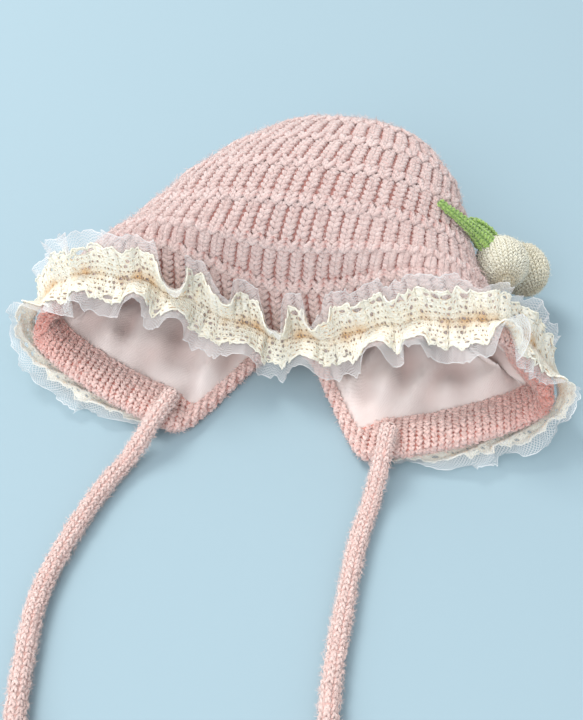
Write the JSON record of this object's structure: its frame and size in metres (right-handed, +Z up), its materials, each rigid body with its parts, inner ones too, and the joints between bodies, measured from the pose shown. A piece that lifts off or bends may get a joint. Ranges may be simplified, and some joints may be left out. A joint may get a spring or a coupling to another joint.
{
  "type": "baby woollen cap",
  "caption": "Soft knitted baby cap with ear flaps, lace and tulle ruffle, plush lining, knitted tulips and tie cords, lying on its back.",
  "frame": {"origin": "on the surface the cap lies on, under the middle of the crown's flattened back", "axes": "+Z up, away from that surface; -Y towards the mouth, the ear flaps and the ties; +Y towards the top of the crown; +X across the mouth, towards the side with the tulips"},
  "size_m": [0.2719, 0.3186, 0.0757],
  "materials": {
    "crown_knit": "pale pink wool knit, matte and slightly fuzzy",
    "edge_band_knit": "deeper pink ribbed wool knit, matte",
    "lining_plush": "off-white short plush, matte",
    "tulle_net": "sheer white net",
    "crochet_lace": "cream cotton crochet lace, matte",
    "tie_knit": "pale pink knitted cord, matte",
    "tulip_bud_knit": "cream wool knit, matte",
    "tulip_stem_knit": "leaf green wool knit, matte"
  },
  "bodies": {
    "root": {"crown": "crown_knit", "edge_band": "edge_band_knit", "lining": "lining_plush", "tulle_trim": "tulle_net", "lace_trim": "crochet_lace", "tie_left": "tie_knit", "tie_knot_left": "tie_knit", "tie_right": "tie_knit", "tie_knot_right": "tie_knit", "tulip_bud_front": "tulip_bud_knit", "tulip_stem_front": "tulip_stem_knit", "tulip_bud_rear": "tulip_bud_knit", "tulip_stem_rear": "tulip_stem_knit"}
  },
  "joints": []
}
